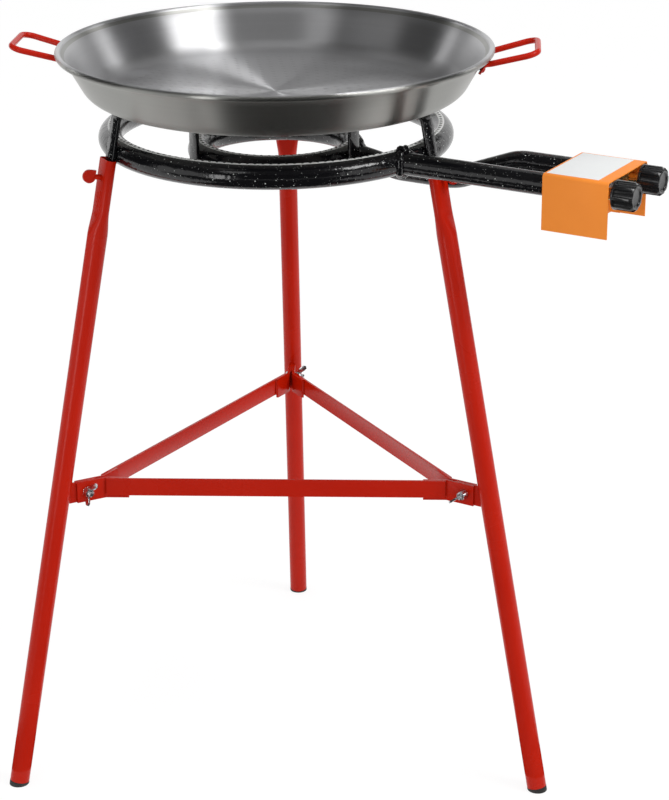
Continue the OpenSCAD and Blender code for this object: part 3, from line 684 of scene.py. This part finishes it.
# A heavier second run of weld lies over the top of each seam.
crowns = [[point + Vector((0, 0, 0.0012)) for point in sorted(seam, key=lambda point: -point.z)[:9]]
          for seam in pipe_seams]
crowns = [sorted(crown, key=lambda point: (at_pipes().inverted() @ point).y) for crown in crowns]
welded("pipe_weld_crowns", crowns, 0.0062, 0.0058, enamel, "black_enamel")

# ---- Pan supports ----
# Each is one flat steel bar bent four-square: its foot stands in a leg, its side is welded
# to the outer ring, its flat top carries the pan, and its inner end is welded to the inner
# ring. They are enamelled together with the rings.
for name in LEG_DIRECTIONS:
    dressed("support_" + name + "_bar", "support_" + name, enamel, "stand", "black_enamel", 0.0009)
support_seams = []
for direction in LEG_DIRECTIONS.values():
    for r, z in ((OUTER_RING_R + 0.0130, RING_Z + 0.0062), (OUTER_RING_R + 0.0145, RING_Z - 0.0068),
                 (INNER_RING_R + 0.0130, RING_Z - INNER_DROP + 0.0062)):
        support_seams.append([at_side(direction) @ Vector((r, y, z)) for y in (-0.0085, 0.0085)])
welded("support_welds", support_seams, 0.0024, 0.0034, enamel, "black_enamel")

# ---- Heat cover and cross plate ----
# Folded steel sheet in orange powder coat: a roof with two side flaps over the taps, and
# inside it a flanged plate that carries the pipe ends and the gas rail. The roof has a
# thin white film stuck on it, left blank.
COVER_START = 0.3685
COVER_END = 0.4445
COVER_TOP = 0.016
orange, tree, shader, spot = new_material("orange powder coat", (0.93, 0.28, 0.032), 0.5)
cloud = tree.noise(spot, 30.0, 3.0)
grain = tree.noise(spot, 1300.0, 2.0)
tree.feed(shader, Base_Color=tree.mix(cloud, (0.90, 0.262, 0.028), (0.96, 0.294, 0.036)),
          Roughness=0.40 + 0.20 * grain, Normal=tree.bump(grain, 0.00008))
shader.inputs["Specular IOR Level"].default_value = 0.2
dressed("heat_cover_sheet", "heat_cover", orange, "stand", "orange_paint", 0.0004)
dressed("cross_plate_sheet", "cross_plate", orange, "stand", "orange_paint", 0.0004)
white_film, tree, shader, spot = new_material("blank white film", (0.78, 0.80, 0.80), 0.4)
cloud = tree.noise(spot, 90.0, 3.0)
tree.feed(shader, Base_Color=tree.mix(cloud, (0.76, 0.78, 0.78), (0.81, 0.82, 0.82)),
          Roughness=0.32 + 0.16 * cloud, Normal=tree.bump(tree.noise(spot, 60.0, 1.0), 0.0002))
film = block((COVER_START + 0.0025, -0.0580, COVER_TOP - 0.00002),
             (COVER_END - 0.0135, 0.0340, COVER_TOP + 0.00016), 0.00005)
film = mesh_of("cover_blank_film", moved(film, at_pipes()))
settle("cover_blank_film", film, white_film, "stand", "orange_paint")

# ---- Gas rail, taps, jets and hose nozzle ----
# A square steel bar drilled along its length feeds two brass taps that are screwed through
# it. A jet on each tap's nose blows into its pipe, and a brass hose nozzle stands on the
# bar's rear end, through the cover's flap.


def clouded(name, dark, light, scale, detail, roughness, swing, depth, metallic=1.0):
    """A drawn, turned or moulded finish whose tone, gloss and level wander together."""
    made, tree, shader, spot = new_material(name, light, roughness, metallic)
    cloud = tree.noise(spot, scale, detail)
    tree.feed(shader, Base_Color=tree.mix(cloud, dark, light), Roughness=roughness + swing * cloud,
              Normal=tree.bump(cloud, depth))
    return made


steel = clouded("drawn steel", (0.38, 0.38, 0.39), (0.58, 0.58, 0.58), 300.0, 4.0, 0.26, 0.2, 0.00008)
brass = clouded("turned brass", (0.64, 0.45, 0.18), (0.84, 0.64, 0.32), 280.0, 3.0, 0.18, 0.2, 0.00006)
dressed("gas_rail_bar", "gas_rail", steel, "stand", "rail_steel", 0.0008)
dressed("rail_screws_turned", "rail_screws", zinc, "stand", "zinc", 0.0003)
dressed("hose_nozzle_turned", "hose_nozzle", brass, "stand", "brass", 0.0003)
for name in ("outer", "inner"):
    dressed("tap_" + name + "_body", "tap_" + name, brass, "stand", "brass", 0.0004)
    dressed("jet_" + name + "_turned", "jet_" + name, brass, "stand", "brass", 0.0002)
    dressed("spindle_" + name + "_turned", "spindle_" + name, steel, "tap_" + name + "_control", "rail_steel",
            0.0004)

# ---- Knobs ----
# Moulded gloss black knobs with eight lobes and a shallow dished face, pushed on the tap
# spindles at the cover's open end.
knob_black = clouded("gloss black knob", (0.008, 0.008, 0.009), (0.016, 0.016, 0.017), 420.0, 3.0, 0.14, 0.14,
                     0.00005, 0.0)
for name in ("outer", "inner"):
    dressed("knob_" + name + "_moulding", "knob_" + name, knob_black, "tap_" + name + "_control",
            "knob_plastic", 0.0012, 30.0)

# ---- Pan shell ----
# One disc of polished steel, spun to a shallow bowl: a flat floor, a rounded foot, a
# straight flare and a rim rolled outwards. Turning leaves fine rings in its polish, and
# rows of small dimples are pressed into the floor.
PAN_Z = 0.805
PAN_FLOOR_R = 0.197
PAN_H = 0.052
PAN_WALL = 0.0015
PAN_BEND_R = 0.028
RIM_R = 0.0035
RIM_MIDDLE_R = 0.2465
FLARE_A = math.radians(-29.16)
FLARE_TOP = Vector((0.2405, 0.0485))
HANDLE_TURN = -2.6
DIMPLE_PITCH = 0.013
DIMPLES_END_R = 0.185


def arc(centre, radius, start, end, steps):
    angles = [math.radians(start + (end - start) * k / steps) for k in range(steps + 1)]
    return [Vector(centre) + radius * Vector((math.cos(angle), math.sin(angle))) for angle in angles]


def pan_profile():
    """Radius and height: up the inside from the middle, over the rim, and down the outside."""
    foot_centre, flare = (PAN_FLOOR_R, PAN_BEND_R), math.degrees(FLARE_A)
    inside = [Vector((r, PAN_WALL)) for r in (0.0, 0.02, 0.05, 0.09, 0.13, 0.16, 0.18)]
    inside += arc(foot_centre, PAN_BEND_R - PAN_WALL, -90, flare, 14)
    wall_top = FLARE_TOP - PAN_WALL * Vector((math.cos(FLARE_A), math.sin(FLARE_A)))
    inside += [inside[-1].lerp(wall_top, k / 4) for k in (1, 2, 3)] + [wall_top]
    rim = arc((RIM_MIDDLE_R, PAN_H), RIM_R, 172, -128, 22)
    foot = arc(foot_centre, PAN_BEND_R, flare, -90, 14)
    outside = [FLARE_TOP + Vector((0.0012, 0.0008)), FLARE_TOP]
    outside += [FLARE_TOP.lerp(foot[0], k / 4) for k in (1, 2, 3)] + foot
    return inside + rim + outside + [Vector((r, 0.0)) for r in (0.17, 0.13, 0.09, 0.05, 0.02, 0.0)]


def pan_material(name, dark, light, roughness, dimpled):
    """Steel polished on a lathe, with tone, scratches and dimples that follow its circles."""
    made, tree, shader, spot = new_material(name, light, roughness, 1.0)
    from_axis = tree.add("ShaderNodeVectorMath", {0: spot, 1: BOX_MIDDLE}, operation="ADD")
    x, y, z = [tree.add("ShaderNodeSeparateXYZ", {0: from_axis}, out=k) for k in range(3)]
    radius = tree.maths("SQRT", x * x + y * y)
    turn = tree.maths("ARCTAN2", y, x)
    way = radius + 0.9 * z
    fine = tree.add("ShaderNodeTexNoise", {"W": way, "Scale": 2600.0, "Detail": 3.0}, noise_dimensions="1D")
    broad = tree.add("ShaderNodeTexNoise", {"W": way, "Scale": 130.0, "Detail": 2.0}, noise_dimensions="1D")
    smear = tree.noise(spot, 7.0, 4.0, 0.6)
    tone = 0.5 * smear + 0.25 * fine + 0.25 * broad
    height = 0.5 * fine + 0.5 * broad
    if dimpled:
        row = tree.maths("FLOOR", radius / DIMPLE_PITCH)
        place_in_row = radius / DIMPLE_PITCH - row - 0.5
        in_turn = turn / (2 * math.pi) * tree.maths("FLOOR", (row + 0.5) * 6.0) + 0.37 * row
        place_in_turn = in_turn - tree.maths("FLOOR", in_turn) - 0.5
        off_middle = tree.maths("SQRT", place_in_row * place_in_row + place_in_turn * place_in_turn)
        dimple = tree.ramp(off_middle, (0.0, 1.0), (0.10, 0.9), (0.22, 0.12), (0.30, 0.0))
        dimple = dimple * (radius < DIMPLES_END_R)
        height = height - 11.0 * dimple
        # Each dimple is also painted darker: painted shade in its hollow.
        tone = tone - 0.5 * dimple
    tree.feed(shader, Base_Color=tree.mix(tone, dark, light), Roughness=(roughness - 0.04) + 0.08 * tone,
              Normal=tree.bump(height, 0.00002))
    shader.inputs["Anisotropic"].default_value = 0.97
    shader.inputs["Anisotropic Rotation"].default_value = 0.25
    return made


inside_steel = pan_material("pan steel, inside", (0.46, 0.46, 0.47), (0.58, 0.58, 0.59), 0.38, True)
# The outside is painted darker than the inside: painted shade standing in for the dark reflection on the pan's
# outer wall.
outside_steel_painted_dark = pan_material("pan steel, outside", (0.32, 0.32, 0.305), (0.40, 0.40, 0.38), 0.36, False)


def at_pan():
    """The middle of the pan's underside, turned so that X runs through both handles."""
    return at_side(HANDLE_TURN) @ Matrix.Translation((0, 0, PAN_Z))


pan_mesh = mesh_of("pan_shell_spun", turned([(point.x, point.y) for point in pan_profile()], 256), 50.0)
pan_mesh.materials.append(inside_steel)
pan_mesh.materials.append(outside_steel_painted_dark)
for face in pan_mesh.polygons:
    r, z = math.hypot(face.center.x, face.center.y), face.center.z
    outer_side = face.normal.z < -0.1 if r < 0.2405 else r > 0.2490 or z < PAN_H - 0.0005
    face.material_index = 1 if outer_side else 0
pan_mesh.transform(at_pan())
settle("pan_shell_spun", pan_mesh, None, "pan", "pan_steel", "pan_shell")

# ---- Pan handles ----
# A steel rod bent to a loop, with its two ends pressed flat, laid on the pan's wall and
# riveted. The red paint is the same as the legs'.
RIVET_H = 0.038
RIVET_HALF = 0.033
HANDLE_ROOT = (0.248, 0.044)
HANDLE_REACH = 0.298
HANDLE_HALF = 0.040
HANDLE_RISE = math.atan2(0.057 - 0.044, HANDLE_REACH - HANDLE_ROOT[0])
HANDLE_ROD_R = 0.0035
HANDLE_BEND_R = 0.013
PAD_R = 0.0065
PAD_T = 0.0032
WALL_R = 0.23464


def at_rivet(turn, y):
    """A rivet's own frame on the pan's wall: X points out of the wall and Z runs up it."""
    place = Matrix.Rotation(math.radians(turn), 4, "Z") @ Matrix.Translation((WALL_R, y, RIVET_H))
    return place @ Matrix.Rotation(-FLARE_A, 4, "Y")


def handle_line():
    """Half of the handle from its pad: middle points, half widths and half thicknesses."""
    loop = Matrix.Translation((HANDLE_ROOT[0], 0, HANDLE_ROOT[1])) @ Matrix.Rotation(-HANDLE_RISE, 4, "Y")
    reach = (HANDLE_REACH - HANDLE_ROOT[0]) / math.cos(HANDLE_RISE)
    pad = at_rivet(0, RIVET_HALF)
    pad_middle = pad @ Vector((0.0001 + PAD_T / 2, 0, 0))
    line = []
    for step in range(9):
        angle = math.pi / 2 * step / 8
        thin = PAD_T / 2 * min(1.0, 0.6 + 0.2 * step)
        point = pad @ Vector((0.0001 + PAD_T / 2, 0, -PAD_R * math.cos(angle)))
        line.append((point, max(PAD_R * math.sin(angle), 0.0004), thin))
    root, corner = Vector((-0.0005, RIVET_HALF, 0)), Vector((reach, HANDLE_HALF, 0))
    way = (corner - root).normalized()
    start_pull = pad_middle + 0.006 * (pad.to_3x3() @ Vector((0, 0, 1)))
    end, end_pull = loop @ root, loop @ (root - 0.006 * way)
    for step in range(1, 13):
        t = step / 12
        point = ((1 - t) ** 3 * pad_middle + 3 * (1 - t) ** 2 * t * start_pull + 3 * (1 - t) * t * t * end_pull
                 + t ** 3 * end)
        ease = t * t * (3 - 2 * t)
        wide, thick = PAD_R + (HANDLE_ROD_R - PAD_R) * ease, PAD_T / 2 + (HANDLE_ROD_R - PAD_T / 2) * ease
        line.append((point, wide, thick))
    sweep = math.pi / 2 + math.atan2(way.y, way.x)
    before = corner - way * HANDLE_BEND_R * math.tan(sweep / 2)
    centre = before + HANDLE_BEND_R * Vector((way.y, -way.x, 0))
    first = math.atan2(before.y - centre.y, before.x - centre.x)
    for step in range(15):
        angle = first - sweep * step / 14
        point = centre + HANDLE_BEND_R * Vector((math.cos(angle), math.sin(angle), 0))
        line.append((loop @ point, HANDLE_ROD_R, HANDLE_ROD_R))
    return line


def handle_shape():
    half = handle_line()
    line = half + [(Vector((point.x, -point.y, point.z)), wide, thick) for point, wide, thick in half[::-1]]
    wall_out = Vector((math.cos(FLARE_A), 0, math.sin(FLARE_A)))
    rings = []
    for i, (point, wide, thick) in enumerate(line):
        way = (line[min(i + 1, len(line) - 1)][0] - line[max(i - 1, 0)][0]).normalized()
        face_way = wall_out.lerp(Vector((0, 0, -1)), min(abs(way.y), 1.0))
        up = (face_way - way * face_way.dot(way)).normalized()
        side = way.cross(up)
        rings.append([point + wide * math.cos(a) * side + thick * math.sin(a) * up
                      for a in [2 * math.pi * k / 24 for k in range(24)]])
    return skin(rings)


for name, turn in (("left", 180.0), ("right", 0.0)):
    shape = moved(handle_shape(), at_pan() @ Matrix.Rotation(math.radians(turn), 4, "Z"))
    settle("pan_handle_" + name + "_rod", mesh_of("pan_handle_" + name + "_rod", shape, 60.0), red_paint, "pan",
           "red_paint", "pan_handle_" + name)

# ---- Pan rivets ----
# Four steel rivets go through the pads and the wall. Their outer heads are painted with
# the handles, and their inner heads are polished bright.
HEAD_R = 0.0036
HEAD_RISE = 0.002
polished = clouded("polished rivet steel", (0.62, 0.62, 0.63), (0.78, 0.78, 0.79), 500.0, 3.0, 0.10, 0.14,
                   0.00004)


def rivet_shape(side):
    """One head with its share of the shank, outside or inside the wall."""
    lift = PAD_T if side > 0 else PAN_WALL
    angles = [math.radians(a) for a in range(0, 91, 10)]
    swell = [(HEAD_R * math.sin(a), HEAD_RISE * math.cos(a)) for a in angles]
    profile = [(r, side * (lift + z)) for r, z in swell] + [(0.002, side * lift), (0.002, 0.0)]
    return moved(turned(profile, 24), Matrix.Rotation(math.pi / 2, 4, "Y"))


rivet_places = [at_pan() @ at_rivet(turn, y) for turn in (0, 180) for y in (-RIVET_HALF, RIVET_HALF)]
outer_heads = set_out_at("pan_rivet_heads_outside", rivet_shape(1), rivet_places, red_paint)
settle("pan_rivet_heads_outside", outer_heads, None, "pan", "red_paint")
inner_heads = set_out_at("pan_rivet_heads_inside", rivet_shape(-1), rivet_places, polished)
settle("pan_rivet_heads_inside", inner_heads, None, "pan", "pan_steel", "pan_rivets_left", "pan_rivets_right")

# ---- Camera ----
# A long lens on a stand in front of the burner, a little to its right, looking down on the
# pan from the height where its whole floor shows.
PHOTO_LONG_SIDE = 800
CAMERA_FOCAL_PX = 2294.3
CAMERA_PLACE = Vector((0.10112, -2.62246, 1.4250))
CAMERA_HEADING = math.radians(92.0)
CAMERA_PITCH = math.radians(21.16)
CAMERA_ROLL = math.radians(-0.35)
camera = bpy.data.objects.new("camera", bpy.data.cameras.new("camera"))
scene.collection.objects.link(camera)
scene.camera = camera
camera.data.sensor_width = 36.0
camera.data.lens = CAMERA_FOCAL_PX * 36.0 / PHOTO_LONG_SIDE
camera.data.clip_end = 60.0
look = Vector((math.cos(CAMERA_HEADING) * math.cos(CAMERA_PITCH),
               math.sin(CAMERA_HEADING) * math.cos(CAMERA_PITCH), -math.sin(CAMERA_PITCH)))
level_right = Vector((math.sin(CAMERA_HEADING), -math.cos(CAMERA_HEADING), 0.0))
level_up = level_right.cross(look)
right = math.cos(CAMERA_ROLL) * level_right + math.sin(CAMERA_ROLL) * level_up
up = math.cos(CAMERA_ROLL) * level_up - math.sin(CAMERA_ROLL) * level_right
camera.matrix_world = Matrix.Translation(CAMERA_PLACE) @ Matrix((right, up, -look)).transposed().to_4x4()

# ---- Studio ----
# A wide pale floor in a white room, soft boxes in front and behind, and cards that stand
# out of the picture and change only what polished steel and enamel mirror.
ROOM_LIGHT = 0.75
FLOOR_GLOW = 0.8
world = bpy.data.worlds.new("white room")
scene.world = world
world.use_nodes = True
room = Tree(world.node_tree)
background = world.node_tree.nodes["Background"]
background.inputs["Color"].default_value = (1.0, 1.0, 1.0, 1.0)


def seen_in(tree):
    """One for what the camera sees, straight or in polished and clear surfaces, and zero for the rest."""
    ray = tree.node_tree.nodes.new("ShaderNodeLightPath")
    rays = [Value(tree, ray.outputs[name]) for name in ("Is Camera Ray", "Is Glossy Ray", "Is Transmission Ray")]
    return tree.maths("MAXIMUM", tree.maths("MAXIMUM", rays[0], rays[1]), rays[2])


room_level = ROOM_LIGHT + (1.0 - ROOM_LIGHT) * seen_in(room)
world.node_tree.links.new(room_level.socket, background.inputs["Strength"])


def flat_sheet(name, width, height, material):
    """A floor or card of the studio, which is no part of the burner."""
    mesh = bpy.data.meshes.new(name)
    w, h = width / 2, height / 2
    mesh.from_pydata([(-w, -h, 0), (w, -h, 0), (w, h, 0), (-w, h, 0)], [], [(0, 1, 2, 3)])
    mesh.materials.append(material)
    sheet = bpy.data.objects.new(name, mesh)
    scene.collection.objects.link(sheet)
    return sheet


pale_floor, tree, shader, spot = new_material("pale floor", (0.92, 0.92, 0.92), 0.9)
tree.feed(shader, Base_Color=tree.mix(tree.noise(spot, 6.0), (0.91, 0.91, 0.91), (0.93, 0.93, 0.93)))
glow = tree.add("ShaderNodeEmission", {"Color": (1.0, 1.0, 1.0, 1.0), "Strength": 1.07})
lit_floor = {0: FLOOR_GLOW * seen_in(tree), 1: Value(tree, shader.outputs[0]), 2: glow}
lit_floor = tree.add("ShaderNodeMixShader", lit_floor)
tree.node_tree.links.new(lit_floor.socket, tree.node_tree.nodes["Material Output"].inputs["Surface"])
flat_sheet("floor", 16.0, 16.0, pale_floor)


def aimed(place, target):
    """A place out on the studio floor that faces its target."""
    place, target = Vector(place), Vector(target)
    return Matrix.Translation(place) @ (target - place).to_track_quat("-Z", "Y").to_matrix().to_4x4()


def soft_box(name, place, target, width, height, power):
    """A lamp behind a square cloth, turned to its target."""
    lamp = bpy.data.lights.new(name, "AREA")
    lamp.shape = "RECTANGLE"
    lamp.size, lamp.size_y, lamp.energy = width, height, power
    box = bpy.data.objects.new(name, lamp)
    scene.collection.objects.link(box)
    box.matrix_world = aimed(place, target)
    box.visible_camera = False
    return box


PAN_MIDDLE = Vector((-0.054, -0.046, 0.82))


def around_pan(heading, height_angle, reach):
    """A place seen from the pan at a heading and an angle above level."""
    turn = Matrix.Rotation(math.radians(heading), 3, "Z") @ Matrix.Rotation(-math.radians(height_angle), 3, "Y")
    return PAN_MIDDLE + turn @ Vector((reach, 0, 0))


soft_box("key soft box", around_pan(-24, 40, 3.2), PAN_MIDDLE, 1.2, 0.9, 36.0)
soft_box("fill soft box", around_pan(-118, 44, 3.0), PAN_MIDDLE, 0.6, 0.9, 3.0)
soft_box("top soft box", (-0.05, -0.60, 3.3), (-0.05, -0.60, 0.0), 1.2, 0.7, 5.0)
streak_box = soft_box("streak box", around_pan(-26, 62, 3.2), PAN_MIDDLE, 0.12, 0.5, 18.0)
strip_box = soft_box("left strip box", (-1.35, -2.15, 0.65), (-0.3, -0.2, 0.5), 0.45, 1.3, 10.0)
right_box = soft_box("right rear box", around_pan(40, 24, 3.2), PAN_MIDDLE, 0.7, 0.6, 4.0)
left_box = soft_box("left rear box", around_pan(146, 18, 3.2), PAN_MIDDLE, 0.5, 0.6, 2.0)
for box in (streak_box, strip_box, right_box, left_box):
    box.visible_diffuse = False


def card_finish(name, low, high):
    made, tree, shader, spot = new_material(name, (high, high, high), 0.9)
    tree.feed(shader, Base_Color=tree.mix(tree.noise(spot, 3.0), (low, low, low), (high, high, high)))
    return made


card_black = card_finish("black card", 0.015, 0.025)
card_grey = card_finish("grey card", 0.08, 0.10)
card_pale = card_finish("pale card", 0.68, 0.72)


def card(name, place, target, width, height, material):
    """A sheet that only mirrors show: it neither lights the object nor shades it."""
    sheet = flat_sheet(name, width, height, material)
    sheet.matrix_world = aimed(place, target)
    sheet.visible_camera = False
    sheet.visible_diffuse = False
    sheet.visible_shadow = False


card("roof card", (0.0, 0.0, 3.4), (0.0, 0.0, 0.0), 12.0, 12.0, card_grey)
card("rear roof card", (0.0, 3.0, 3.3), (0.0, 3.0, 0.0), 3.0, 3.6, card_pale)
card("near low card", (0.0, -0.45, 0.02), (0.0, -0.45, 1.0), 1.1, 0.6, card_black)
card("far low card", (0.0, -2.15, 0.02), (0.0, -2.15, 1.0), 5.0, 2.8, card_black)
card("front card", (0.0, -4.4, 1.7), (0.0, 0.0, 1.7), 8.0, 3.3, card_black)
card("left rear card", around_pan(149, -8, 3.6), PAN_MIDDLE, 1.1, 1.2, card_black)
card("right rear card", around_pan(26, -7, 3.6), PAN_MIDDLE, 1.2, 1.3, card_black)
card("right side card", (4.4, 0.2, 1.9), (0.0, 0.2, 1.9), 3.6, 3.0, card_black)
card("left side card", (-4.4, 0.6, 1.9), (0.0, 0.6, 1.9), 3.2, 3.0, card_black)
